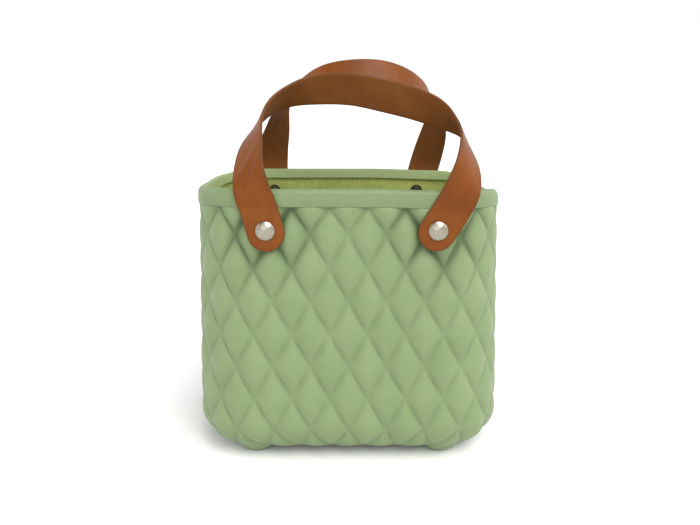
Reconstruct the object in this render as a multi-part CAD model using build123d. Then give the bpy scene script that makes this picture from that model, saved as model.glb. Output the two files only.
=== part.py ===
from build123d import *
import math
import os

# Small moulded hand tote: a quilted body with a rolled rim, a liner and two riveted leather strap handles.
# Millimetres, +Z up, front face towards -Y, origin on the floor under the middle of the body.

# Body
RIM_HALF_X = 126.0
RIM_HALF_Y = 77.5
RIM_CORNER = 50.0
RIM_HEIGHT = 227.0
FLARE = 3.9            # how far the body stands out at its base, compared with the rim
SHELL_INSET = 1.6      # the body's outer face, behind the rim band's
SHELL_WALL = 4.0
LINER_WALL = 1.6
BASE_HEIGHT = 3.4      # the underside of the body, above the floor
BASE_FILLET = 33.0

# Rim band
BAND_TOP = 3.0
BAND_THICKNESS = 8.8
BAND_OUTER_LEG = 14.0
BAND_INNER_LEG = 9.0
BAND_ROUND = 3.0

# Feet, four low domes moulded with the body
FOOT_X = 78.0
FOOT_Y = 46.0
FOOT_RADIUS = 12.5
FOOT_ROUND = 3.0
FOOT_ROOT = 9.0

# Straps
STRAP_WIDTH = 29.5
STRAP_THICKNESS = 2.2
STRAP_GAP = 0.6        # between the strap's inner face and the rim band
STRAP_END = 16.5       # from the rivet to the strap's rounded tip
STRAP_MID_Y = RIM_HALF_Y + STRAP_GAP + STRAP_THICKNESS / 2
STRAP_FACE_Y = STRAP_MID_Y + STRAP_THICKNESS / 2
FOLD_GAP = 0.3         # each side of the fold line
SECTIONS_PER_STRAP = 26

# Rivets
CAP_RADIUS = 7.6
CAP_HEIGHT = 3.4
CAP_DOME = 2.8         # the domed part of the height, above a short straight edge
POST_RADIUS = 2.0
POST_CLEARANCE = 0.05
HOLE_RADIUS = POST_RADIUS + POST_CLEARANCE
WASHER_RADIUS = 5.6
WASHER_THICKNESS = 1.2
TAIL_RADIUS = 3.3
TAIL_HEIGHT = 2.0
STACK_GAP = 0.1

# Each strap's centre line, from its left rivet over to its right rivet as seen from the front, as (x, y, z, turn).
# y is the distance out from the bag's middle plane, on the strap's own side. turn, in degrees, rolls the grain
# side from facing outwards at the rivets, through sideways at the shoulders, to facing inwards and up at the top.
FRONT_ROUTE = [
    (-64.5, STRAP_MID_Y, 195.0, 0),
    (-69.0, STRAP_MID_Y, 211.0, 0),
    (-74.0, 81.1, 227.0, 7),
    (-76.8, 77.5, 244.0, 32),
    (-75.8, 70.0, 260.5, 50),
    (-69.0, 55.5, 282.0, 90),
    (-48.5, 37.0, 298.5, 122),
    (-23.0, 29.0, 304.0, 147),
    (5.0, 26.5, 303.5, 153),
    (30.0, 28.0, 298.5, 155),
    (59.0, 35.5, 290.5, 148),
    (79.0, 46.0, 281.0, 125),
    (89.5, 56.0, 271.5, 92),
    (93.3, 69.0, 255.0, 58),
    (91.5, 77.5, 238.0, 27),
    (87.5, 81.0, 226.5, 7),
    (80.0, STRAP_MID_Y, 211.0, 0),
    (70.0, STRAP_MID_Y, 195.0, 0),
]
REAR_ROUTE = [
    (-73.5, STRAP_MID_Y, 205.8, 0),
    (-75.8, STRAP_MID_Y, 221.0, 0),
    (-76.0, 80.7, 231.0, 6),
    (-74.5, 77.0, 248.0, 20),
    (-70.3, 69.5, 267.0, 44),
    (-66.6, 60.5, 281.5, 66),
    (-60.0, 51.5, 292.5, 90),
    (-42.0, 39.0, 306.5, 124),
    (-20.0, 31.0, 315.0, 146),
    (6.0, 28.0, 318.5, 153),
    (34.0, 30.0, 317.0, 152),
    (58.0, 37.0, 308.5, 142),
    (76.0, 48.0, 296.5, 112),
    (84.3, 58.0, 281.5, 72),
    (84.2, 68.0, 264.5, 44),
    (80.3, 77.0, 246.0, 22),
    (76.5, 80.7, 231.0, 8),
    (73.5, STRAP_MID_Y, 221.0, 0),
    (67.5, STRAP_MID_Y, 205.8, 0),
]
FOLD_HEIGHT = {"front": 209.0, "rear": 221.0}
ROUTES = {"front": FRONT_ROUTE, "rear": REAR_ROUTE}
OUTWARD = {"front": -1.0, "rear": 1.0}      # the sign of y on each strap's own side

TAPER = math.degrees(math.atan(FLARE / RIM_HEIGHT))
SHELL_TOP = RIM_HEIGHT - BAND_TOP


def rounded_plan(inset, height):
    """The plan outline at a height, drawn in by inset from the rim band's outer face."""
    plan = RectangleRounded(
        2 * (RIM_HALF_X - inset),
        2 * (RIM_HALF_Y - inset),
        RIM_CORNER - inset,
    )
    return Pos(0, 0, height) * plan


def flared_block(inset, floor, fillet_radius):
    """The solid under the shell's top whose sides lean out towards a rounded floor."""
    spread = FLARE * (RIM_HEIGHT - floor) / RIM_HEIGHT
    base = rounded_plan(inset - spread, floor)
    block = extrude(base, amount=SHELL_TOP - floor, taper=TAPER)
    return fillet(block.faces().sort_by(Axis.Z)[0].edges(), fillet_radius)


def body_block():
    return flared_block(SHELL_INSET, BASE_HEIGHT, BASE_FILLET)


def shell_cavity():
    return flared_block(SHELL_INSET + SHELL_WALL, BASE_HEIGHT + SHELL_WALL, BASE_FILLET - SHELL_WALL)


def liner_cavity():
    wall = SHELL_WALL + LINER_WALL
    return flared_block(SHELL_INSET + wall, BASE_HEIGHT + wall, BASE_FILLET - wall)


def wall_y(inset, height):
    """How far a flared wall stands from the bag's middle plane at a height."""
    return RIM_HALF_Y - inset + FLARE * (RIM_HEIGHT - height) / RIM_HEIGHT


def rivet_places():
    """(side, hand, x, z) of the four rivets, at the two ends of each strap's route."""
    places = []
    for side, route in ROUTES.items():
        for hand, station in (("left", route[0]), ("right", route[-1])):
            places.append((side, hand, station[0], station[2]))
    return places


def on_side(shape, side, x, y, z):
    """Turns a shape built along +Z to point outwards on one side of the bag, at a place."""
    turn = 90 if side == "front" else -90
    return Pos(x, OUTWARD[side] * y, z) * Rot(turn, 0, 0) * shape


def rivet_holes(depth_from, depth_to):
    """Cutters for the four rivet holes between two distances from the middle plane."""
    holes = []
    for side, hand, x, z in rivet_places():
        drill = Cylinder(HOLE_RADIUS, depth_to - depth_from, align=(Align.CENTER, Align.CENTER, Align.MIN))
        holes.append(on_side(drill, side, x, depth_from, z))
    return holes


def foot(x, y):
    post = Cylinder(FOOT_RADIUS, FOOT_ROOT, align=(Align.CENTER, Align.CENTER, Align.MIN))
    post = fillet(post.edges().sort_by(Axis.Z)[0], FOOT_ROUND)
    return Pos(x, y, 0) * post


def outer_shell():
    shell = body_block()
    for x in (-FOOT_X, FOOT_X):
        for y in (-FOOT_Y, FOOT_Y):
            shell += foot(x, y)
    shell -= shell_cavity()
    for hole in rivet_holes(RIM_HALF_Y / 2, RIM_HALF_Y + FLARE):
        shell -= hole
    return shell


def inner_liner():
    liner = shell_cavity() - liner_cavity()
    for hole in rivet_holes(RIM_HALF_Y / 2, RIM_HALF_Y):
        liner -= hole
    return liner


def rim_band():
    """A U-section band over the top edge, its outer leg longer than its inner one."""
    band = extrude(rounded_plan(0, RIM_HEIGHT - BAND_OUTER_LEG), amount=BAND_OUTER_LEG)
    mouth = extrude(rounded_plan(BAND_THICKNESS, RIM_HEIGHT - BAND_OUTER_LEG), amount=BAND_OUTER_LEG)
    band -= mouth
    band = fillet(band.faces().sort_by(Axis.Z)[-1].edges(), BAND_ROUND)
    short_side = extrude(
        rounded_plan(SHELL_INSET + SHELL_WALL, RIM_HEIGHT - BAND_OUTER_LEG),
        amount=BAND_OUTER_LEG - BAND_INNER_LEG,
    )
    return band - short_side - (body_block() - liner_cavity())


def strap_frames(side):
    """Planes across one strap, x along its width and z along its centre line, for evenly spaced stations."""
    route = ROUTES[side]
    outward = OUTWARD[side]
    points = [Vector(x, outward * y, z) for x, y, z, turn in route]
    line = Edge.make_spline(points)
    stops = [line.param_at_point(point) for point in points]
    turns = [station[3] for station in route]
    frames = []
    for index in range(SECTIONS_PER_STRAP + 1):
        at = index / SECTIONS_PER_STRAP
        span = max(k for k in range(len(stops) - 1) if stops[k] <= at + 1e-9)
        share = (at - stops[span]) / (stops[span + 1] - stops[span])
        turn = math.radians(turns[span] + share * (turns[span + 1] - turns[span]))
        along = line.tangent_at(at)
        out = Vector(0, outward, 0)
        out = (out - along * out.dot(along)).normalized()
        sideways = out.cross(along) * -outward
        grain = out * math.cos(turn) + sideways * math.sin(turn)
        frames.append(Plane(origin=line.position_at(at), x_dir=grain.cross(along), z_dir=along))
    return frames


def fold_crossing(side, hand):
    """Where the centre line crosses the fold line, and how steeply the strap end leans there."""
    route = ROUTES[side]
    rivet, bend = (route[0], route[1]) if hand == "left" else (route[-1], route[-2])
    lean = math.atan2(bend[0] - rivet[0], bend[2] - rivet[2])
    x = rivet[0] + math.tan(lean) * (FOLD_HEIGHT[side] - rivet[2])
    return x, lean


def strap_loop(side):
    """The part of a strap above its fold line, lofted through sections across it."""
    outward = OUTWARD[side]
    foot_height = FOLD_HEIGHT[side] + FOLD_GAP
    clear_of_fold = foot_height + STRAP_THICKNESS * 2
    sections = []
    for frame in strap_frames(side):
        if frame.origin.Z > clear_of_fold:
            sections.append(Face.make_rect(STRAP_WIDTH, STRAP_THICKNESS, frame))
    ends = []
    for hand, upward in (("left", 1), ("right", -1)):
        x, lean = fold_crossing(side, hand)
        width = STRAP_WIDTH / math.cos(lean)
        grain_x = Vector(0, outward, 0).cross(Vector(0, 0, upward))
        plane = Plane(origin=(x, outward * STRAP_MID_Y, foot_height), x_dir=grain_x, z_dir=(0, 0, upward))
        ends.append(Face.make_rect(width, STRAP_THICKNESS, plane))
    return loft([ends[0], *sections, ends[1]], ruled=True)


def strap_end(side, hand):
    """The flat, round-ended length of strap under the fold line, with its rivet hole."""
    rivet = ROUTES[side][0] if hand == "left" else ROUTES[side][-1]
    x, lean = fold_crossing(side, hand)
    tip = STRAP_END - STRAP_WIDTH / 2
    length = 2 * (FOLD_HEIGHT[side] - rivet[2])
    blade = Pos(0, (length - tip) / 2) * Rectangle(STRAP_WIDTH, length + tip)
    outline = blade + Pos(0, -tip) * Circle(STRAP_WIDTH / 2) - Circle(HOLE_RADIUS)
    outline = Pos(rivet[0], rivet[2]) * Rot(0, 0, -math.degrees(lean)) * outline
    below_fold = Rectangle(4 * STRAP_WIDTH, 2 * length)
    below_fold = Pos(rivet[0], FOLD_HEIGHT[side] - FOLD_GAP - length) * below_fold
    flat = extrude(outline & below_fold, amount=STRAP_THICKNESS)
    inner_y = STRAP_MID_Y - STRAP_THICKNESS / 2
    outer_y = inner_y + STRAP_THICKNESS
    near_y = -inner_y if side == "front" else outer_y
    return Pos(0, near_y, 0) * Rot(90, 0, 0) * flat


def rivet(side, hand, x, z):
    """The domed cap outside the strap, with the post that goes through to the inside."""
    ball_radius = (CAP_RADIUS**2 + CAP_DOME**2) / (2 * CAP_DOME)
    disc = Cylinder(CAP_RADIUS, CAP_HEIGHT, align=(Align.CENTER, Align.CENTER, Align.MIN))
    cap = disc & Pos(0, 0, CAP_HEIGHT - ball_radius) * Sphere(ball_radius)
    length = STRAP_FACE_Y - washer_y(z) + WASHER_THICKNESS + TAIL_HEIGHT / 2
    post = Cylinder(POST_RADIUS, length, align=(Align.CENTER, Align.CENTER, Align.MAX))
    return on_side(cap + post, side, x, STRAP_FACE_Y, z)


def washer_y(z):
    """The outward face of a washer, just clear of the liner."""
    return wall_y(SHELL_INSET + SHELL_WALL + LINER_WALL, z) - STACK_GAP


def washer(side, hand, x, z):
    disc = Cylinder(WASHER_RADIUS, WASHER_THICKNESS, align=(Align.CENTER, Align.CENTER, Align.MAX))
    disc = fillet(disc.edges().filter_by(GeomType.CIRCLE), WASHER_THICKNESS / 3)
    disc -= Cylinder(HOLE_RADIUS, 4 * WASHER_THICKNESS)
    return on_side(disc, side, x, washer_y(z), z)


def rivet_tail(side, hand, x, z):
    """The small clenched cap that holds the washer on the post."""
    tail = Cylinder(TAIL_RADIUS, TAIL_HEIGHT, align=(Align.CENTER, Align.CENTER, Align.MAX))
    tail = fillet(tail.edges().sort_by(Axis.Z)[0], TAIL_HEIGHT * 0.4)
    bore_depth = TAIL_HEIGHT / 2 + POST_CLEARANCE
    bore = Cylinder(HOLE_RADIUS, bore_depth, align=(Align.CENTER, Align.CENTER, Align.MAX))
    return on_side(tail - bore, side, x, washer_y(z) - WASHER_THICKNESS, z)


def all_parts():
    parts = {
        "outer_shell": outer_shell(),
        "inner_liner": inner_liner(),
        "rim_band": rim_band(),
    }
    for side in ROUTES:
        parts[f"{side}_strap_loop"] = strap_loop(side)
        for hand in ("left", "right"):
            parts[f"{side}_strap_{hand}_end"] = strap_end(side, hand)
    for place in rivet_places():
        name = f"{place[0]}_{place[1]}"
        parts[f"{name}_rivet"] = rivet(*place)
        parts[f"{name}_washer"] = washer(*place)
        parts[f"{name}_rivet_tail"] = rivet_tail(*place)
    return parts


os.makedirs("parts", exist_ok=True)
for node, solid in all_parts().items():
    export_step(solid, f"parts/{node}.step")
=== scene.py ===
import bmesh
import bpy
import math
import numpy as np
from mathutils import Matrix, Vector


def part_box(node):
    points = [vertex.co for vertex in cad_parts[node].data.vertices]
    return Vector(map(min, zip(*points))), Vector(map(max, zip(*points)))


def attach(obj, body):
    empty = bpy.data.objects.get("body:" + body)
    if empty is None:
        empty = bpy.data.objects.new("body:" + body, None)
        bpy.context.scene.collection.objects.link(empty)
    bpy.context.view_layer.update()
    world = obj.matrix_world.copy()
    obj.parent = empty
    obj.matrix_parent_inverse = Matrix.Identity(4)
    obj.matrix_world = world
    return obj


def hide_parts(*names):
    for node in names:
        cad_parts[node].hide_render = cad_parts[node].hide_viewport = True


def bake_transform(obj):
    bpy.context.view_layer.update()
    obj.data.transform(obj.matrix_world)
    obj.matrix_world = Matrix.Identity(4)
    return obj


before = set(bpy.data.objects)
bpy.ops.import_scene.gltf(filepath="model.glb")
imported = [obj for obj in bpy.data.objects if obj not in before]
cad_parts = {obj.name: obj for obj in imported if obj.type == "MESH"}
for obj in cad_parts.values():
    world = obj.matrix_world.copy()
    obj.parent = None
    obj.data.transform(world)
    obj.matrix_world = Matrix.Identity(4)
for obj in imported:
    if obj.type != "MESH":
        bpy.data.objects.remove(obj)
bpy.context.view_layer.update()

MM = 0.001
SIDES = ("front", "rear")
HANDS = ("left", "right")
OUTWARD = {"front": -1.0, "rear": 1.0}      # the sign of y on each strap's own side

# Body, read from the frame where a node's box gives it
BAND_LOW, BAND_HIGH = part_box("rim_band")
RIM_HALF_X = BAND_HIGH[0]
RIM_HALF_Y = BAND_HIGH[1]
RIM_HEIGHT = BAND_HIGH[2]
BAND_FOOT = BAND_LOW[2]
SHELL_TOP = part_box("outer_shell")[1][2]
RIM_CORNER = 50.0 * MM
FLARE = 3.9 * MM
SHELL_INSET = 1.6 * MM
SHELL_WALL = 4.0 * MM
LINER_WALL = 1.6 * MM
BASE_HEIGHT = 3.4 * MM
BASE_FILLET = 33.0 * MM

# Quilting
DIAMONDS_ROUND = 24                 # diamonds round the body
DIAMOND_STEPS = 40                  # mesh steps across a diamond, a multiple of four
DIAMOND_HEIGHT = 54.0 * MM
TOP_POINTS_HEIGHT = 217.0 * MM      # the first row of crossings, in an even pattern
TOP_DRAW = 3.8 * MM                 # that row is drawn down by this much, to just under the rim band
TOP_DRAW_FOOT = 190.0 * MM          # and the wall under it less and less, down to this height
STEPS_ABOVE = 5                     # mesh rows above those crossings, hidden by the band
STEPS_BELOW = 185                   # mesh rows from those crossings to the flat middle of the base
PILLOW_RISE = 1.6 * MM
PILLOW_DEPTH = 2.1 * MM
PILLOW_FLAT = 2.3                   # the larger, the flatter the diamonds
PILLOW_STEEP = 0.70                 # the smaller, the steeper their sides
CROWN_ABOVE = 1.5 * MM              # the crowns start to rise this far above the band's foot
CROWN_BELOW = 1.0 * MM              # and stand full this far below it
RELIEF_FULL = 16.0 * MM             # the relief is whole down to this far round the base's bend
RELIEF_GONE = 6.0 * MM              # and gone this far before the bend's end
END_CALM = 0.30                     # how much weaker the relief is at the two ends
END_CALM_X = (104.0 * MM, 122.0 * MM)
PINCH_REACH = 31.0 * MM             # the creases are deeper round the rivets, and their painted shade is darker there
PINCH_DEPTH = 1.3
# strength of the painted shade in the creases, and of the extra painted shade round the rivets
CREASE_SHADE = 0.07
PINCH_SHADE = 2.1
PRESS_RADIUS = 15.5 * MM            # the wall is pressed flat under each strap end
PRESS_GAP = 0.3 * MM
UNDERSIDE = -0.3                    # the underside is where the outward normal points down more than this

# How far the soft rim droops, in mm, and where each droop starts and is full
SAG_RIGHT = 8.0                     # at the right end, behind its front corner
SAG_RIGHT_X = (94, 124)
SAG_RIGHT_Y = (-72, 8)
SAG_LEFT = 2.5                      # at the left end
SAG_LEFT_X = (100, 124)
SAG_FRONT = 1.8                     # along the right half of the front and back
SAG_FRONT_X = (20, 90)
SAG_Z = (110, 222)                  # the walls under the rim go down with it, less and less
SAG_EDGE = 4.3                      # extra, at the band's outer edge at the right end
SAG_EDGE_X = (117, 127.7)
SAG_EDGE_Z = (214, 226)

# Feet
FOOT_X = 78.0 * MM
FOOT_Y = 46.0 * MM
FOOT_FLAT = 6.0 * MM                # radius of a foot's flat underside
FOOT_REACH = 9.5 * MM               # how far its curved side spreads beyond that
FOOT_RISE = 6.0 * MM                # past that it steepens over this distance

# Straps
STRAP_WIDTH = 29.5 * MM
STRAP_THICKNESS = 2.2 * MM
STRAP_END = 16.5 * MM
STRAP_MID_Y = 79.2                  # mm, as in the routes below

# Each strap's centre line from left to right: x, distance out from the middle plane and z in mm,
# and the roll of its grain side in degrees
ROUTES = {
    "front": [
        (-64.5, STRAP_MID_Y, 195.0, 0),
        (-69.0, STRAP_MID_Y, 211.0, 0),
        (-74.0, 81.1, 227.0, 7),
        (-76.8, 77.5, 244.0, 32),
        (-75.8, 70.0, 260.5, 50),
        (-69.0, 55.5, 282.0, 90),
        (-48.5, 37.0, 298.5, 122),
        (-23.0, 29.0, 304.0, 147),
        (5.0, 26.5, 303.5, 153),
        (30.0, 28.0, 298.5, 155),
        (59.0, 35.5, 290.5, 148),
        (79.0, 46.0, 281.0, 125),
        (89.5, 56.0, 271.5, 92),
        (93.3, 69.0, 255.0, 58),
        (91.5, 77.5, 238.0, 27),
        (87.5, 81.0, 226.5, 7),
        (80.0, STRAP_MID_Y, 211.0, 0),
        (70.0, STRAP_MID_Y, 195.0, 0),
    ],
    "rear": [
        (-73.5, STRAP_MID_Y, 205.8, 0),
        (-75.8, STRAP_MID_Y, 221.0, 0),
        (-76.0, 80.7, 231.0, 6),
        (-74.5, 77.0, 248.0, 20),
        (-70.3, 69.5, 267.0, 44),
        (-66.6, 60.5, 281.5, 66),
        (-60.0, 51.5, 292.5, 90),
        (-42.0, 39.0, 306.5, 124),
        (-20.0, 31.0, 315.0, 146),
        (6.0, 28.0, 318.5, 153),
        (34.0, 30.0, 317.0, 152),
        (58.0, 37.0, 308.5, 142),
        (76.0, 48.0, 296.5, 112),
        (84.3, 58.0, 281.5, 72),
        (84.2, 68.0, 264.5, 44),
        (80.3, 77.0, 246.0, 22),
        (76.5, 80.7, 231.0, 8),
        (73.5, STRAP_MID_Y, 221.0, 0),
        (67.5, STRAP_MID_Y, 205.8, 0),
    ],
}
STRAP_STEPS = 260
WRINKLE_SPACING = 4.0 * MM          # fine wrinkles run across the straps
WRINKLE_LENGTH = 14.0 * MM
TIP_STEPS = 14
TIP_FROM = 0.09                     # radians round the tip's end, where its first ring stands
EDGE_WEAR = 2.5 * MM                # both faces are darker this near to the edges
CAP_RADIUS = 7.6 * MM
DENT_DEPTH = 0.35 * MM              # the caps press into the leather
DENT_REACH = 2.2 * MM
BUCKLE_LEFT = 0.50 * MM             # slanting ripples where the leather twists, stronger on the left leg
BUCKLE_RIGHT = 0.10 * MM
BUCKLE_SPACING = 17.0 * MM
BUCKLE_SLANT = 1.3
BUCKLE_LOW = 36.0 * MM
BUCKLE_HIGH = 92.0 * MM


# ---------------------------------------------------------------- mesh helpers

def new_mesh(name, points, faces, material, smooth=True):
    mesh = bpy.data.meshes.new(name)
    mesh.from_pydata([tuple(map(float, p)) for p in points], [], faces)
    mesh.validate()
    mesh.materials.append(material)
    piece = bpy.data.objects.new(name, mesh)
    bpy.context.scene.collection.objects.link(piece)
    if smooth:
        mesh.polygons.foreach_set("use_smooth", [True] * len(mesh.polygons))
    return piece


def point_values(piece, name, values):
    attribute = piece.data.attributes.new(name, "FLOAT", "POINT")
    attribute.data.foreach_set("value", np.asarray(values, dtype=np.float32))


def plan(offset, share):
    """Points and outward normals on the rounded plan, by share of its length from the front middle."""
    flat_x = RIM_HALF_X - RIM_CORNER
    flat_y = RIM_HALF_Y - RIM_CORNER
    radius = np.maximum(RIM_CORNER + offset, 1e-6)
    arc = radius * math.pi / 2
    quarter = flat_x + flat_y + arc
    share = np.mod(share, 1.0)
    mirrored = share > 0.5
    along = np.where(mirrored, 1.0 - share, share) * 4 * quarter
    back = along > quarter
    along = np.where(back, 2 * quarter - along, along)
    on_front = along < flat_x
    on_arc = (along >= flat_x) & (along < flat_x + arc)
    angle = np.clip((along - flat_x) / radius, 0, math.pi / 2)
    x = np.where(on_front, along, flat_x + radius * np.sin(angle))
    y = np.where(on_front | on_arc, -flat_y - radius * np.cos(angle), -(flat_y - (along - flat_x - arc)))
    nx = np.where(on_front, 0.0, np.sin(angle))
    ny = np.where(on_front, -1.0, -np.cos(angle))
    x = np.where(mirrored, -x, x)
    nx = np.where(mirrored, -nx, nx)
    y = np.where(back, -y, y)
    ny = np.where(back, -ny, ny)
    return x, y, nx, ny


def ring_points(profile, shares):
    """One ring of points round the plan for each (offset, height) of a profile."""
    rings = []
    for offset, height in profile:
        x, y, _, _ = plan(offset, shares)
        rings.append(np.stack([x, y, np.full_like(x, height)], axis=1))
    return np.concatenate(rings)


def ring_faces(rings, count, first=0, closed=False):
    """Quads between rings of count points; closed joins the last ring to the first."""
    faces = []
    for ring in range(rings if closed else rings - 1):
        low = first + ring * count
        high = first + ((ring + 1) % rings) * count
        for k in range(count):
            after = (k + 1) % count
            faces.append((low + k, low + after, high + after, high + k))
    return faces


def outward_faces(piece):
    """Turns every face of a closed piece outwards."""
    work = bmesh.new()
    work.from_mesh(piece.data)
    bmesh.ops.recalc_face_normals(work, faces=work.faces)
    work.to_mesh(piece.data)
    work.free()


def smoothstep(low, high, value):
    t = np.clip((value - low) / (high - low), 0, 1)
    return t * t * (3 - 2 * t)


def flare_offset(inset, height):
    """How far a flared wall stands from the rim band's outer face at a height."""
    return FLARE * (RIM_HEIGHT - height) / RIM_HEIGHT - inset


def soft_sag(points):
    """Lowers the soft walls towards the rim, which droops at its right end and a little elsewhere."""
    x, y, z = points.T / MM
    right_end = SAG_RIGHT * smoothstep(*SAG_RIGHT_X, x) * smoothstep(*SAG_RIGHT_Y, y)
    left_end = SAG_LEFT * smoothstep(*SAG_LEFT_X, -x)
    front_right = SAG_FRONT * smoothstep(*SAG_FRONT_X, x)
    edge_from, edge_to = SAG_EDGE_X
    edge = SAG_EDGE * np.clip((x - edge_from) / (edge_to - edge_from), 0, 1) ** 3
    sagged = points.copy()
    sagged[:, 2] -= (right_end + left_end + front_right) * smoothstep(*SAG_Z, z) * MM
    sagged[:, 2] -= edge * smoothstep(*SAG_EDGE_Z, z) * MM
    return sagged


# ---------------------------------------------------------------- materials

def noise_node(nodes, links, scale, detail=4.0, rough=0.55, stretch=None):
    coords = nodes.new("ShaderNodeTexCoord")
    mapping = nodes.new("ShaderNodeMapping")
    mapping.inputs["Scale"].default_value = stretch or (1, 1, 1)
    links.new(coords.outputs["Object"], mapping.inputs["Vector"])
    noise = nodes.new("ShaderNodeTexNoise")
    noise.inputs["Scale"].default_value = scale
    noise.inputs["Detail"].default_value = detail
    noise.inputs["Roughness"].default_value = rough
    links.new(mapping.outputs["Vector"], noise.inputs["Vector"])
    return noise.outputs["Fac"]


def ramp(nodes, links, value, stops):
    node = nodes.new("ShaderNodeValToRGB")
    element = node.color_ramp.elements
    while len(element) < len(stops):
        element.new(0.5)
    for k, (place, colour) in enumerate(stops):
        element[k].position = place
        element[k].color = (*colour, 1)
    links.new(value, node.inputs["Fac"])
    return node.outputs["Color"]


def mix_colour(nodes, links, kind, share, a, b):
    node = nodes.new("ShaderNodeMix")
    node.data_type = "RGBA"
    node.blend_type = kind
    for socket, value in (("Factor", share), ("A", a), ("B", b)):
        target = [s for s in node.inputs if s.name == socket and s.type in ("RGBA", "VALUE")]
        target = [s for s in target if (s.type == "RGBA") == (socket != "Factor")][0]
        if isinstance(value, bpy.types.NodeSocket):
            links.new(value, target)
        elif socket == "Factor":
            target.default_value = value
        else:
            target.default_value = (*value, 1)
    return [s for s in node.outputs if s.type == "RGBA"][0]


def math_node(nodes, links, kind, a, b):
    node = nodes.new("ShaderNodeMath")
    node.operation = kind
    for k, value in enumerate((a, b)):
        if isinstance(value, bpy.types.NodeSocket):
            links.new(value, node.inputs[k])
        else:
            node.inputs[k].default_value = value
    return node.outputs[0]


def attribute_value(nodes, name):
    node = nodes.new("ShaderNodeAttribute")
    node.attribute_name = name
    return node.outputs["Fac"]


def vary_roughness(nodes, links, shader, value, low, high):
    node = nodes.new("ShaderNodeMapRange")
    node.inputs["To Min"].default_value = low
    node.inputs["To Max"].default_value = high
    links.new(value, node.inputs["Value"])
    links.new(node.outputs["Result"], shader.inputs["Roughness"])


def bump(nodes, links, height, distance, strength, normal=None):
    node = nodes.new("ShaderNodeBump")
    node.inputs["Strength"].default_value = strength
    node.inputs["Distance"].default_value = distance
    links.new(height, node.inputs["Height"])
    if normal is not None:
        links.new(normal, node.inputs["Normal"])
    return node.outputs["Normal"]


def start_material(name):
    material = bpy.data.materials.new(name)
    material.use_nodes = True
    nodes = material.node_tree.nodes
    return material, nodes, material.node_tree.links, nodes["Principled BSDF"]


def moulded_green(name, mid, light, attribute, towards):
    """Matte moulded sage green: soft mottling, painted shade or painted light mixed in by a point attribute,
    and a pebbled grain.
    """
    material, nodes, links, shader = start_material(name)
    mottle = noise_node(nodes, links, scale=38, detail=5, rough=0.6)
    base = ramp(nodes, links, mottle, [(0.30, mid), (0.70, light)])
    base = mix_colour(nodes, links, "MIX", attribute_value(nodes, attribute), base, towards)
    links.new(base, shader.inputs["Base Color"])
    patchy = noise_node(nodes, links, scale=120, detail=3)
    vary_roughness(nodes, links, shader, patchy, low=0.46, high=0.62)
    fine = noise_node(nodes, links, scale=1500, detail=2)
    coarse = noise_node(nodes, links, scale=260, detail=3)
    first = bump(nodes, links, coarse, distance=0.6 * MM, strength=0.16)
    second = bump(nodes, links, fine, distance=0.2 * MM, strength=0.22, normal=first)
    links.new(second, shader.inputs["Normal"])
    shader.inputs["Specular IOR Level"].default_value = 0.42
    shader.inputs["Sheen Weight"].default_value = 0.05
    shader.inputs["Sheen Roughness"].default_value = 0.5
    return material


def liner_felt():
    """Short-napped yellow green felt with loose fibres."""
    material, nodes, links, shader = start_material("liner_felt")
    cloud = noise_node(nodes, links, scale=45, detail=5, rough=0.65)
    fibre = noise_node(nodes, links, scale=900, detail=4, rough=0.7, stretch=(1, 1, 0.35))
    base = ramp(nodes, links, cloud, [(0.3, FELT_DARK), (0.7, FELT_LIGHT)])
    flecks = ramp(nodes, links, fibre, [(0.36, (0.72, 0.72, 0.66)), (0.62, (1.0, 1.0, 1.0))])
    base = mix_colour(nodes, links, "MULTIPLY", 1.0, base, flecks)
    links.new(base, shader.inputs["Base Color"])
    shader.inputs["Roughness"].default_value = 0.92
    shader.inputs["Sheen Weight"].default_value = 0.25
    shader.inputs["Sheen Roughness"].default_value = 0.4
    links.new(bump(nodes, links, fibre, distance=0.7 * MM, strength=0.6), shader.inputs["Normal"])
    return material


def leather(name, tones, roughness, grain_height):
    """Vegetable tan leather: cloudy dye in three tones from dark to light, fine pores and wrinkles."""
    dark, mid, light = tones
    material, nodes, links, shader = start_material(name)
    cloud = noise_node(nodes, links, scale=26, detail=6, rough=0.62)
    base = ramp(nodes, links, cloud, [(0.25, dark), (0.5, mid), (0.78, light)])
    pores = nodes.new("ShaderNodeTexVoronoi")
    pores.feature = "DISTANCE_TO_EDGE"
    pores.inputs["Scale"].default_value = 950
    coords = nodes.new("ShaderNodeTexCoord")
    links.new(coords.outputs["Object"], pores.inputs["Vector"])
    cell = pores.outputs["Distance"]
    lines = ramp(nodes, links, cell, [(0.0, (0.80, 0.76, 0.72)), (0.12, (1.0, 1.0, 1.0))])
    base = mix_colour(nodes, links, "MULTIPLY", 0.6, base, lines)
    wear = math_node(nodes, links, "MULTIPLY", attribute_value(nodes, "edge"), 0.45)
    base = mix_colour(nodes, links, "MIX", wear, base, dark)
    links.new(base, shader.inputs["Base Color"])
    patchy = noise_node(nodes, links, scale=70, detail=4)
    vary_roughness(nodes, links, shader, patchy, low=roughness - 0.07, high=roughness + 0.09)
    along = nodes.new("ShaderNodeCombineXYZ")
    links.new(attribute_value(nodes, "along"), along.inputs["X"])
    links.new(attribute_value(nodes, "across"), along.inputs["Y"])
    wrinkles = nodes.new("ShaderNodeTexNoise")
    wrinkles.inputs["Scale"].default_value = 1.0
    wrinkles.inputs["Detail"].default_value = 5.0
    links.new(along.outputs["Vector"], wrinkles.inputs["Vector"])
    first = bump(nodes, links, wrinkles.outputs["Fac"], distance=0.9 * MM, strength=0.35)
    second = bump(nodes, links, cell, distance=0.3 * MM, strength=grain_height, normal=first)
    links.new(second, shader.inputs["Normal"])
    shader.inputs["Specular IOR Level"].default_value = 0.16
    return material


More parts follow.
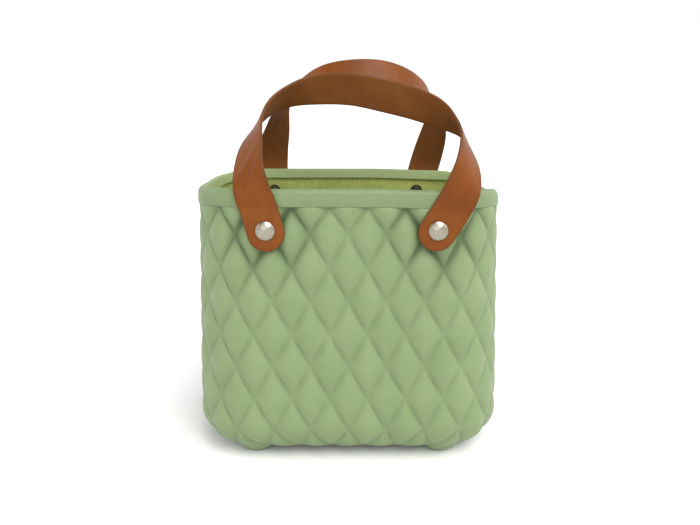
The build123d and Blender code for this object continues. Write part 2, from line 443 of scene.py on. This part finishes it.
def metal(name, tone, dark_tone, roughness):
    """Metal with fine scratches from rubbing and slight tarnish."""
    material, nodes, links, shader = start_material(name)
    tarnish = noise_node(nodes, links, scale=420, detail=5, rough=0.6)
    base = ramp(nodes, links, tarnish, [(0.3, dark_tone), (0.62, tone)])
    links.new(base, shader.inputs["Base Color"])
    shader.inputs["Metallic"].default_value = 1.0
    scratch = noise_node(nodes, links, scale=1400, detail=3, rough=0.6, stretch=(1, 1, 0.12))
    vary_roughness(nodes, links, shader, scratch, low=roughness, high=roughness + 0.16)
    links.new(bump(nodes, links, scratch, distance=0.1 * MM, strength=0.25), shader.inputs["Normal"])
    return material


# painted shade: the dark tone mixed into the creases and round the rivets
SAGE_PAINTED_SHADE = (0.070, 0.110, 0.038)
SAGE_MID = (0.156, 0.217, 0.093)
SAGE_LIGHT = (0.184, 0.246, 0.113)
GREEN_SHELL = moulded_green("sage_shell", SAGE_MID, SAGE_LIGHT, "painted_crease_shade", SAGE_PAINTED_SHADE)
RIM_MID = (0.141, 0.194, 0.083)
RIM_LIGHT = (0.164, 0.219, 0.099)
# painted light: the paler tone painted on the band's inner leg and the inside of its top
RIM_PAINTED_LIGHT = (0.238, 0.297, 0.121)
GREEN_RIM = moulded_green("sage_rim", RIM_MID, RIM_LIGHT, "painted_light", RIM_PAINTED_LIGHT)
FELT_DARK = (0.322, 0.377, 0.092)
FELT_LIGHT = (0.407, 0.463, 0.129)
FELT = liner_felt()
LEATHER_GRAIN_TONES = ((0.120, 0.030, 0.003), (0.165, 0.044, 0.004), (0.208, 0.062, 0.007))
LEATHER_GRAIN = leather("strap_grain", LEATHER_GRAIN_TONES, roughness=0.34, grain_height=0.35)
LEATHER_FLESH_TONES = ((0.120, 0.040, 0.008), (0.160, 0.055, 0.011), (0.190, 0.070, 0.017))
LEATHER_FLESH = leather("strap_flesh", LEATHER_FLESH_TONES, roughness=0.80, grain_height=0.7)
LEATHER_EDGE_TONES = ((0.090, 0.032, 0.011), (0.145, 0.054, 0.018), (0.190, 0.076, 0.030))
LEATHER_EDGE = leather("strap_edge", LEATHER_EDGE_TONES, roughness=0.66, grain_height=0.4)
NICKEL = metal("nickel", (0.385, 0.360, 0.290), (0.30, 0.280, 0.22), roughness=0.20)
DARK_STEEL = metal("blackened_steel", (0.075, 0.062, 0.040), (0.034, 0.028, 0.019), roughness=0.40)
DULL_STEEL = metal("dull_steel", (0.085, 0.080, 0.066), (0.050, 0.047, 0.040), roughness=0.40)


# ---------------------------------------------------------------- quilted body

def shell_profile(below):
    """The body's mean surface at an arc length below the first crossings.

    Gives its offset and height, its outward normal outwards and upwards, and where its bend ends.
    """
    wall_end = TOP_POINTS_HEIGHT - BASE_HEIGHT - BASE_FILLET
    bend_end = wall_end + BASE_FILLET * math.pi / 2
    angle = np.clip((below - wall_end) / BASE_FILLET, 0, math.pi / 2)
    on_wall = np.minimum(below, wall_end)
    height = TOP_POINTS_HEIGHT - on_wall - BASE_FILLET * np.sin(angle)
    offset = flare_offset(SHELL_INSET, TOP_POINTS_HEIGHT - on_wall)
    offset = offset - BASE_FILLET * (1 - np.cos(angle)) - np.maximum(below - bend_end, 0)
    return offset, height, np.cos(angle), -np.sin(angle), bend_end


def pillow(column, row):
    """Height of the diamond pillows, 0 in the creases and 1 on the crowns."""
    rising = np.mod((column + row) / DIAMOND_STEPS - 0.5, 1.0)
    falling = np.mod((column - row) / DIAMOND_STEPS - 0.5, 1.0)
    swell = (1 - np.abs(2 * rising - 1) ** PILLOW_FLAT) * (1 - np.abs(2 * falling - 1) ** PILLOW_FLAT)
    return np.clip(swell, 0, 1) ** PILLOW_STEEP


def rivet_centres(side):
    return [(route[0], route[2]) for route in (ROUTES[side][0], ROUTES[side][-1])]


def rivet_pinch(x, y, z):
    """1 where the wall is drawn in by a rivet, falling to 0 a few centimetres away."""
    pinch = np.zeros_like(x)
    for side in SIDES:
        for rx, rz in rivet_centres(side):
            reach = np.hypot(x - rx * MM, z - rz * MM)
            pinch = np.maximum(pinch, np.exp(-(reach / PINCH_REACH) ** 2) * (y * OUTWARD[side] > 0))
    return pinch


def foot_height(x, y):
    """Height of the underside of the nearest foot: flat in its middle, curving up to the base round it."""
    reach = np.hypot(np.abs(x) - FOOT_X, np.abs(y) - FOOT_Y)
    curve = BASE_HEIGHT * (np.maximum(reach - FOOT_FLAT, 0) / FOOT_REACH) ** 2
    return curve * (1 + (np.maximum(reach - FOOT_FLAT - FOOT_REACH, 0) / FOOT_RISE) ** 2)


def pressed_flat(x, y, z):
    """y, held back to the inner face of the strap ends round each rivet."""
    face = STRAP_MID_Y * MM - STRAP_THICKNESS / 2 - PRESS_GAP
    for side in SIDES:
        for rx, rz in rivet_centres(side):
            pressed = (np.hypot(x - rx * MM, z - rz * MM) < PRESS_RADIUS) & (y * OUTWARD[side] > face)
            y = np.where(pressed, face * OUTWARD[side], y)
    return y


def quilted_shell():
    """The body: a diamond mesh whose edges run along the creases, with feet, and a smooth inner face."""
    columns = DIAMONDS_ROUND * DIAMOND_STEPS
    index = {}
    spots = []
    for row in range(-STEPS_ABOVE, STEPS_BELOW + 1):
        for column in range(row % 2, columns, 2):
            index[column, row] = len(spots)
            spots.append((column, row))
    column, row = np.array(spots, float).T
    below = row * DIAMOND_HEIGHT / DIAMOND_STEPS
    offset, height, out, up, bend_end = shell_profile(below)
    height = height - TOP_DRAW * smoothstep(TOP_DRAW_FOOT, TOP_POINTS_HEIGHT, height)
    crown = pillow(column, row)
    x, y, nx, ny = plan(offset, column / columns)
    pinch = rivet_pinch(x, y, height)
    rise = crown * PILLOW_RISE - (1 - crown) * PILLOW_DEPTH * (1 + PINCH_DEPTH * pinch)
    under_band = smoothstep(BAND_FOOT + CROWN_ABOVE, BAND_FOOT - CROWN_BELOW, height)
    rise = np.where(rise > 0, rise * under_band, rise)
    bend_start = bend_end - BASE_FILLET * math.pi / 2
    fade = smoothstep(bend_end - RELIEF_GONE, bend_start + RELIEF_FULL, below)
    at_end = smoothstep(*END_CALM_X, np.abs(x))
    rise = rise * fade * (1 - END_CALM * at_end)
    x = x + nx * out * rise
    y = y + ny * out * rise
    z = height + up * rise
    z = np.where(up < UNDERSIDE, np.minimum(z, foot_height(x, y)), z)
    y = pressed_flat(x, y, z)
    points = np.stack([x, y, z], axis=1)
    faces = diamond_faces(index, columns)
    inner, inner_faces = inner_wall(len(points), columns)
    first_inner = len(points)
    points = np.concatenate([points, inner])
    faces += inner_faces
    half = columns // 2
    for k in range(half):
        top = index[(2 * k + 1) % columns, -STEPS_ABOVE]
        top_next = index[(2 * k + 3) % columns, -STEPS_ABOVE]
        faces.append((top, top_next, first_inner + (k + 1) % half, first_inner + k))
    low = [index[(2 * k + 1) % columns, STEPS_BELOW] for k in range(half)]
    faces.append(tuple(low))
    shell = new_mesh("quilted_shell", soft_sag(points), faces, GREEN_SHELL)
    # painted shade: darkens the creases of the shell, most round the rivets
    painted_crease_shade = np.minimum((1 - crown) ** (2 - pinch) * fade * (CREASE_SHADE + PINCH_SHADE * pinch), 1.0)
    point_values(shell, "painted_crease_shade", np.concatenate([painted_crease_shade, np.zeros(len(inner))]))
    outward_faces(shell)
    return shell


def diamond_faces(index, columns):
    """Quads round each odd spot of the grid, and triangles along its top and bottom rows."""
    faces = []
    for row in range(-STEPS_ABOVE, STEPS_BELOW + 1):
        for column in range((row + 1) % 2, columns, 2):
            left = index[(column - 1) % columns, row]
            right = index[(column + 1) % columns, row]
            over = index.get((column, row - 1))
            under = index.get((column, row + 1))
            corners = [k for k in (left, under, right, over) if k is not None]
            faces.append(tuple(corners))
    return faces


def inner_wall(first, columns):
    """The body's smooth inside, from its top edge down to its floor."""
    shares = (np.arange(columns // 2) * 2 + 1) / columns
    inset = SHELL_INSET + SHELL_WALL
    profile = pot_profile(inset, SHELL_TOP, BASE_HEIGHT + SHELL_WALL, BASE_FILLET - SHELL_WALL)
    points = ring_points(profile, shares)
    faces = ring_faces(len(profile), len(shares), first)
    last = first + (len(profile) - 1) * len(shares)
    faces.append(tuple(range(last, last + len(shares))))
    return points, faces


def pot_profile(inset, top, floor, fillet, bend_steps=10, wall_steps=6):
    """(offset, height) pairs down a flared wall and round its fillet to the floor."""
    profile = []
    bend_top = floor + fillet
    for k in range(wall_steps):
        height = top + (bend_top - top) * k / wall_steps
        profile.append((flare_offset(inset, height), height))
    for k in range(bend_steps + 1):
        angle = math.pi / 2 * k / bend_steps
        drawn_in = fillet * (1 - math.cos(angle))
        profile.append((flare_offset(inset, bend_top) - drawn_in, bend_top - fillet * math.sin(angle)))
    return profile


# ---------------------------------------------------------------- liner and rim band

LINER_COLUMNS = 384
LINER_TOP = RIM_HEIGHT - 6.4 * MM   # it ends inside the rim band
LINER_GAP = 0.05 * MM               # between the liner and the body
NAP_SIZES = (9.0, 17.0, 31.0, 55.0)     # mm from crest to crest of the liner's soft swells
NAP_WAVES = 5                       # waves of each size
NAP_DEPTH = 0.035 * MM
BAND_COLUMNS = 480
PAINTED_LIGHT_FROM = (3.5, 6.5)            # mm in from the band's outer face, where painted light turns it paler


def nap(points, shares, rings):
    """Small uneven swells, as soft lining has, added along each ring's outward direction."""
    wave = np.zeros(len(points))
    generator = np.random.default_rng(7)
    for size in NAP_SIZES:
        for _ in range(NAP_WAVES):
            direction = generator.normal(size=3)
            direction /= np.linalg.norm(direction)
            phase = generator.uniform(0, 2 * math.pi)
            wave += np.sin(points @ direction * 1000 / size * 2 * math.pi + phase) * size / NAP_SIZES[-1]
    outline = plan(0.0, np.tile(shares, rings))
    moved = points.copy()
    moved[:, 0] += outline[2] * wave * NAP_DEPTH
    moved[:, 1] += outline[3] * wave * NAP_DEPTH
    return moved


def inner_liner():
    shares = np.arange(LINER_COLUMNS) / LINER_COLUMNS
    inset = SHELL_INSET + SHELL_WALL + LINER_GAP
    floor = BASE_HEIGHT + SHELL_WALL + LINER_GAP
    fillet = BASE_FILLET - SHELL_WALL
    wall = LINER_WALL
    outside = pot_profile(inset, LINER_TOP, floor, fillet, wall_steps=40)
    inside = pot_profile(inset + wall, LINER_TOP, floor + wall, fillet - wall, wall_steps=90)
    outer_points = ring_points(outside[::-1], shares)
    inner_points = nap(ring_points(inside, shares), shares, len(inside))
    points = np.concatenate([outer_points, inner_points])
    rings = len(outside) + len(inside)
    faces = ring_faces(rings, LINER_COLUMNS)
    last = (rings - 1) * LINER_COLUMNS
    faces.append(tuple(range(LINER_COLUMNS)))
    faces.append(tuple(range(last, last + LINER_COLUMNS)))
    liner = new_mesh("felt_liner", soft_sag(points), faces, FELT)
    outward_faces(liner)
    return liner


def arc_points(offset, height, radius, start, end, steps):
    """Points round an arc in (offset, height), angles in degrees from outwards, turning upwards."""
    points = []
    for k in range(steps + 1):
        angle = math.radians(start + (end - start) * k / steps)
        points.append((offset + radius * math.cos(angle), height + radius * math.sin(angle)))
    return points


def rim_band():
    """The rolled band over the top edge: a U with a long outer leg, made paler on its inside by painted
    light.
    """
    thickness = 9.6 * MM
    inner_foot = RIM_HEIGHT - 9.0 * MM
    round_top = 4.2 * MM
    inner_round = 2.6 * MM
    inner_lean = 2.8 * MM           # the inner leg leans out by this much towards its top
    round_foot = 0.7 * MM
    crown = 0.35 * MM
    leg_inside = SHELL_INSET - 0.3 * MM
    shoulder = RIM_HEIGHT - round_top
    foot_steps = 5
    face_steps = 8
    top_steps = 10
    profile = arc_points(-round_foot, BAND_FOOT + round_foot, round_foot, -90, 0, foot_steps)
    for k in range(1, face_steps):
        share = k / face_steps
        height = BAND_FOOT + round_foot + (shoulder - BAND_FOOT - round_foot) * share
        profile.append((crown * math.sin(math.pi * share), height))
    profile += arc_points(-round_top, shoulder, round_top, 0, 90, top_steps)
    inner_corner = -thickness + inner_lean + inner_round
    profile += arc_points(inner_corner, RIM_HEIGHT - inner_round, inner_round, 90, 180, top_steps)
    profile += arc_points(-thickness + round_foot, inner_foot + round_foot, round_foot, 180, 270, foot_steps)
    liner_face = -SHELL_INSET - SHELL_WALL - LINER_WALL + 0.1 * MM
    profile += [(liner_face, inner_foot), (liner_face, LINER_TOP)]
    profile += [(-leg_inside, LINER_TOP), (-leg_inside, BAND_FOOT)]
    shares = np.arange(BAND_COLUMNS) / BAND_COLUMNS
    faces = ring_faces(len(profile), BAND_COLUMNS, closed=True)
    band = new_mesh("rolled_rim", soft_sag(ring_points(profile, shares)), faces, GREEN_RIM)
    # painted light: the band turns paler from its outer face inwards
    painted_light = [float(smoothstep(*PAINTED_LIGHT_FROM, -offset / MM)) for offset, _ in profile]
    point_values(band, "painted_light", np.repeat(painted_light, BAND_COLUMNS))
    outward_faces(band)
    return band


# ---------------------------------------------------------------- straps

def smooth_through(stops, values, at):
    """A natural cubic spline through values at stops, read at the places in at."""
    stops, values = np.asarray(stops, float), np.asarray(values, float)
    count = len(stops)
    gap = np.diff(stops)
    slope = np.diff(values, axis=0) / gap.reshape(-1, *[1] * (values.ndim - 1))
    system = np.eye(count)
    right = np.zeros_like(values)
    for k in range(1, count - 1):
        system[k, k - 1] = gap[k - 1]
        system[k, k] = 2 * (gap[k - 1] + gap[k])
        system[k, k + 1] = gap[k]
        right[k] = 6 * (slope[k] - slope[k - 1])
    bend = np.linalg.solve(system, right)
    span = np.clip(np.searchsorted(stops, at, side="right") - 1, 0, count - 2)
    h = gap[span]
    before = (stops[span + 1] - at) / h
    after = (at - stops[span]) / h
    if values.ndim > 1:
        h, before, after = h[:, None], before[:, None], after[:, None]
    curved = ((before**3 - before) * bend[span] + (after**3 - after) * bend[span + 1]) * h**2 / 6
    return before * values[span] + after * values[span + 1] + curved


def strap_frames(side):
    """Centre points, grain and sideways directions and distances from the tip, along one strap."""
    route = np.array([station[:3] for station in ROUTES[side]], float) * MM
    route[:, 1] *= OUTWARD[side]
    turns = [station[3] for station in ROUTES[side]]
    first = route[0] - route[1]
    last = route[-1] - route[-2]
    tip_a = route[0] + first / np.linalg.norm(first) * STRAP_END
    tip_b = route[-1] + last / np.linalg.norm(last) * STRAP_END
    stations = np.vstack([tip_a, route, tip_b])
    turns = np.radians([0, *turns, 0])
    stops = np.concatenate([[0], np.cumsum(np.linalg.norm(np.diff(stations, axis=0), axis=1))])
    length = stops[-1]
    half = STRAP_WIDTH / 2
    curl = half * (1 - np.cos(np.linspace(TIP_FROM, math.pi / 2, TIP_STEPS)))
    middle = np.linspace(half, length - half, STRAP_STEPS)
    at = np.concatenate([curl[:-1], middle, (length - curl[:-1])[::-1]])
    centre = smooth_through(stops, stations, at)
    turn = smooth_through(stops, turns, at)
    step = 0.2 * MM
    ahead = smooth_through(stops, stations, np.minimum(at + step, length))
    behind = smooth_through(stops, stations, np.maximum(at - step, 0))
    along = ahead - behind
    along /= np.linalg.norm(along, axis=1)[:, None]
    out = np.tile([0, OUTWARD[side], 0], (len(at), 1))
    out -= along * np.sum(out * along, axis=1)[:, None]
    out /= np.linalg.norm(out, axis=1)[:, None]
    sideways = np.cross(out, along) * -OUTWARD[side]
    grain = out * np.cos(turn)[:, None] + sideways * np.sin(turn)[:, None]
    across = np.cross(grain, along)
    from_tip = np.minimum(at, length - at)
    return centre, grain, across, from_tip


FACE_STEPS = 12                     # mesh steps across each face of a strap
EDGE_STEPS = 4                      # and round each edge
GRAIN, FLESH, EDGE = range(3)       # the strap's materials, in the order they are added


def strap_section(half_width):
    """(across, out of face, material) round the strap: grain face, edge, flesh face, edge."""
    half = STRAP_THICKNESS / 2
    bevel = 0.75 * MM
    least_flat = 0.05 * MM
    flat = max(half_width - bevel, least_flat)
    section = []
    for side_sign, face in ((1, GRAIN), (-1, FLESH)):
        for k in range(FACE_STEPS + 1):
            across = -flat + 2 * flat * k / FACE_STEPS
            section.append((side_sign * across, side_sign * half, face))
        for k in range(1, EDGE_STEPS):
            angle = math.pi / 2 - math.pi * k / EDGE_STEPS
            across = flat + bevel * math.cos(angle)
            section.append((side_sign * across, side_sign * half * math.sin(angle), EDGE))
    return section


def buckle(from_tip, side_way, height):
    """How far the leather ripples out of its face at a place on a leg, less towards its edges."""
    blend = 14 * MM
    window = smoothstep(BUCKLE_LOW, BUCKLE_LOW + blend, from_tip)
    window *= 1 - smoothstep(BUCKLE_HIGH - blend, BUCKLE_HIGH, from_tip)
    window *= 1 - (2 * side_way / STRAP_WIDTH) ** 2
    phase = (from_tip + BUCKLE_SLANT * side_way) / BUCKLE_SPACING
    return height * window * math.sin(2 * math.pi * phase)


def strap(side):
    """One continuous leather strap, rounded at both tips, pressed in round its rivets."""
    centre, grain, across, from_tip = strap_frames(side)
    half = STRAP_WIDTH / 2
    points = []
    nearness = []
    places = []
    rings = len(centre)
    travelled = np.concatenate([[0], np.cumsum(np.linalg.norm(np.diff(centre, axis=0), axis=1))])
    for k in range(rings):
        inset = half - min(from_tip[k], half)
        half_width = math.sqrt(max(half**2 - inset**2, 1e-9))
        for side_way, out_way, kind in strap_section(half_width):
            distance = math.hypot(side_way, from_tip[k] - STRAP_END)
            if kind == GRAIN:
                out_way -= DENT_DEPTH * math.exp(-(max(distance - CAP_RADIUS, 0) / DENT_REACH) ** 2)
            out_way += buckle(from_tip[k], side_way, BUCKLE_LEFT if k < rings / 2 else BUCKLE_RIGHT)
            points.append(centre[k] + across[k] * side_way + grain[k] * out_way)
            from_edge = half_width - abs(side_way)
            nearness.append(1.0 if kind == EDGE else max(0.0, 1 - from_edge / EDGE_WEAR))
            places.append((travelled[k] / WRINKLE_SPACING, side_way / WRINKLE_LENGTH))
    section = strap_section(half)
    count = len(section)
    faces = ring_faces(rings, count)
    faces.append(tuple(range(count)))
    faces.append(tuple(range((rings - 1) * count, rings * count)))
    piece = new_mesh(side + "_strap", points, faces, LEATHER_GRAIN)
    piece.data.materials.append(LEATHER_FLESH)
    piece.data.materials.append(LEATHER_EDGE)
    # The faces go ring by ring, each ring in the section's order, and the last two close the tips
    for number, polygon in enumerate(piece.data.polygons):
        part = number % count
        if number >= (rings - 1) * count:
            polygon.material_index = EDGE
        elif part < FACE_STEPS:
            polygon.material_index = GRAIN
        elif FACE_STEPS + EDGE_STEPS <= part < 2 * FACE_STEPS + EDGE_STEPS:
            polygon.material_index = FLESH
        else:
            polygon.material_index = EDGE
    point_values(piece, "edge", nearness)
    point_values(piece, "along", [place[0] for place in places])
    point_values(piece, "across", [place[1] for place in places])
    outward_faces(piece)
    return piece


# ---------------------------------------------------------------- rivets

LATHE_STEPS = 64
CAP_HEIGHT = 3.4 * MM
POST_RADIUS = 2.0 * MM
HOLE_RADIUS = 2.1 * MM


def lathe(name, profile, place, outward, material, ring=False):
    """A turned piece: (radius, distance out) pairs round an axis along y, with closed ends or as a ring."""
    points = []
    for radius, distance in profile:
        for k in range(LATHE_STEPS):
            angle = 2 * math.pi * k / LATHE_STEPS
            x = place[0] + radius * math.cos(angle)
            z = place[1] + radius * math.sin(angle)
            points.append((x, outward * distance, z))
    faces = ring_faces(len(profile), LATHE_STEPS, closed=ring)
    if not ring:
        last = (len(profile) - 1) * LATHE_STEPS
        faces.append(tuple(range(LATHE_STEPS)))
        faces.append(tuple(range(last, last + LATHE_STEPS)))
    piece = new_mesh(name, points, faces, material)
    outward_faces(piece)
    return piece


def node_place(node):
    """Axis (x, z), radius, and the distances out from the middle plane that a rivet part spans."""
    low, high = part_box(node)
    axis = ((low[0] + high[0]) / 2, (low[2] + high[2]) / 2)
    radius = (high[0] - low[0]) / 2
    near, far = sorted((abs(low[1]), abs(high[1])))
    return axis, radius, near, far


def rivet_cap(side, hand):
    node = f"{side}_{hand}_rivet"
    axis, radius, near, far = node_place(node)
    base = far - CAP_HEIGHT
    edge = 0.55 * MM
    profile = [(POST_RADIUS * 0.6, near), (POST_RADIUS, near + 0.4 * MM), (POST_RADIUS, base)]
    profile += [(radius - 0.5 * MM, base), (radius, base + edge * 0.45), (radius, base + edge * 0.8)]
    profile.append((radius - 0.22 * MM, base + edge * 1.25))
    dome_steps = 18
    dome_edge = radius - 0.3 * MM
    dome_height = far - base - edge * 1.25
    ball = (dome_edge**2 + dome_height**2) / (2 * dome_height)
    for k in range(1, dome_steps):
        dome_radius = dome_edge * (1 - k / dome_steps)
        profile.append((dome_radius, far - ball + math.sqrt(ball**2 - dome_radius**2)))
    profile.append((0.15 * MM, far))
    cap = lathe(f"{side}_{hand}_rivet_cap", profile, axis, OUTWARD[side], NICKEL)
    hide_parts(node)
    return cap


def inner_washer(side, hand):
    node = f"{side}_{hand}_washer"
    axis, radius, near, far = node_place(node)
    lip = 0.35 * MM
    profile = [(HOLE_RADIUS, far), (HOLE_RADIUS, near + lip), (HOLE_RADIUS + lip, near + 0.1 * MM)]
    profile += [(radius - 1.4 * MM, near), (radius - 0.5 * MM, near + 0.12 * MM), (radius, near + 0.5 * MM)]
    profile += [(radius, far - lip), (radius - lip, far)]
    disc = lathe(f"{side}_{hand}_back_washer", profile, axis, OUTWARD[side], DARK_STEEL, ring=True)
    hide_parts(node)
    return disc


def inner_tail(side, hand):
    node = f"{side}_{hand}_rivet_tail"
    axis, radius, near, far = node_place(node)
    round_in = 1.2 * MM
    round_up = 0.9 * MM
    round_steps = 6
    profile = [(radius * 0.55, far), (radius, far - 0.15 * MM), (radius, near + round_up)]
    for k in range(1, round_steps + 1):
        angle = math.pi / 2 * k / round_steps
        profile.append((radius - round_in * (1 - math.cos(angle)), near + round_up * (1 - math.sin(angle))))
    profile += [(radius * 0.45, near + 0.05 * MM), (radius * 0.25, near + 0.35 * MM)]
    profile.append((0.1 * MM, near + 0.4 * MM))
    tail = lathe(f"{side}_{hand}_clenched_tail", profile, axis, OUTWARD[side], DULL_STEEL)
    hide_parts(node)
    return tail


# ---------------------------------------------------------------- stage

FLOOR_HALF = 60.0                   # metres, so that its edge lies far out of sight
CAMERA_X = 1.4 * MM
CAMERA_BACK = 506.6 * MM            # in front of the rim's front face
CAMERA_HEIGHT = 298.6 * MM
CAMERA_PITCH = 8.29                 # degrees down
CAMERA_LENS = 34.09
CAMERA_SHIFT = -0.10

# Place and colour of the room's two tones, from the horizon up
HORIZON = (0.30, (1, 1, 1))
OVERHEAD = (0.75, (0.26, 0.26, 0.26))

# Name, azimuth, elevation, strength and angular size of each lamp, angles in degrees
LAMPS = [
    ("key", 32, 50, 2.2, 36),
    ("top", 10, 76, 0.7, 30),
    ("front", -10, 30, 0.90, 60),
    ("right", 98, 34, 1.2, 60),
    ("left", -98, 30, 0.6, 50),
    ("back", 165, 50, 0.2, 40),
]


def set_camera():
    data = bpy.data.cameras.new("camera")
    data.lens = CAMERA_LENS
    data.sensor_width = 36.0
    data.shift_y = CAMERA_SHIFT
    data.clip_start = 0.01
    camera = bpy.data.objects.new("camera", data)
    camera.location = (CAMERA_X, -RIM_HALF_Y - CAMERA_BACK, CAMERA_HEIGHT)
    camera.rotation_euler = (math.radians(90 - CAMERA_PITCH), 0, 0)
    bpy.context.scene.collection.objects.link(camera)
    bpy.context.scene.camera = camera


def soft_sun(name, azimuth, elevation, strength, angle):
    """A broad distant lamp; azimuth 0 shines from straight in front, and positive ones from the right."""
    data = bpy.data.lights.new(name, "SUN")
    data.energy = strength
    data.angle = math.radians(angle)
    lamp = bpy.data.objects.new(name, data)
    lamp.rotation_euler = (math.radians(90 - elevation), 0, math.radians(azimuth))
    bpy.context.scene.collection.objects.link(lamp)


def plain_floor():
    material, _, _, shader = start_material("pale_floor")
    shader.inputs["Base Color"].default_value = (0.81, 0.81, 0.81, 1)
    shader.inputs["Roughness"].default_value = 0.9
    shader.inputs["Specular IOR Level"].default_value = 0.0
    corners = [(x * FLOOR_HALF, y * FLOOR_HALF, 0) for x, y in ((-1, -1), (1, -1), (1, 1), (-1, 1))]
    floor = new_mesh("floor", corners, [(0, 1, 2, 3)], material, smooth=False)


def studio():
    """A white room, bright near the horizon and dimmer overhead, with broad lamps on all sides."""
    world = bpy.data.worlds.new("studio")
    world.use_nodes = True
    nodes, links = world.node_tree.nodes, world.node_tree.links
    coords = nodes.new("ShaderNodeTexCoord")
    split = nodes.new("ShaderNodeSeparateXYZ")
    links.new(coords.outputs["Generated"], split.inputs["Vector"])
    sky = ramp(nodes, links, split.outputs["Z"], [HORIZON, OVERHEAD])
    links.new(sky, nodes["Background"].inputs["Color"])
    nodes["Background"].inputs["Strength"].default_value = 1.0
    bpy.context.scene.world = world
    for lamp in LAMPS:
        soft_sun(*lamp)
    bpy.context.scene.view_settings.view_transform = "Standard"


set_camera()
plain_floor()
studio()

shell = quilted_shell()
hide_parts("outer_shell")
liner = inner_liner()
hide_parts("inner_liner")
band = rim_band()
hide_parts("rim_band")
for piece in (shell, liner, band):
    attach(piece, "bag")

FITTINGS = ((rivet_cap, "rivet_nickel"), (inner_washer, "washer_dark"), (inner_tail, "rivet_nickel"))
for side in SIDES:
    leather_strap = strap(side)
    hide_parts(side + "_strap_loop", side + "_strap_left_end", side + "_strap_right_end")
    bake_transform(leather_strap)
    for hand in HANDS:
        for make, slot in FITTINGS:
            fitting = make(side, hand)
            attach(fitting, "bag")

bpy.context.view_layer.update()
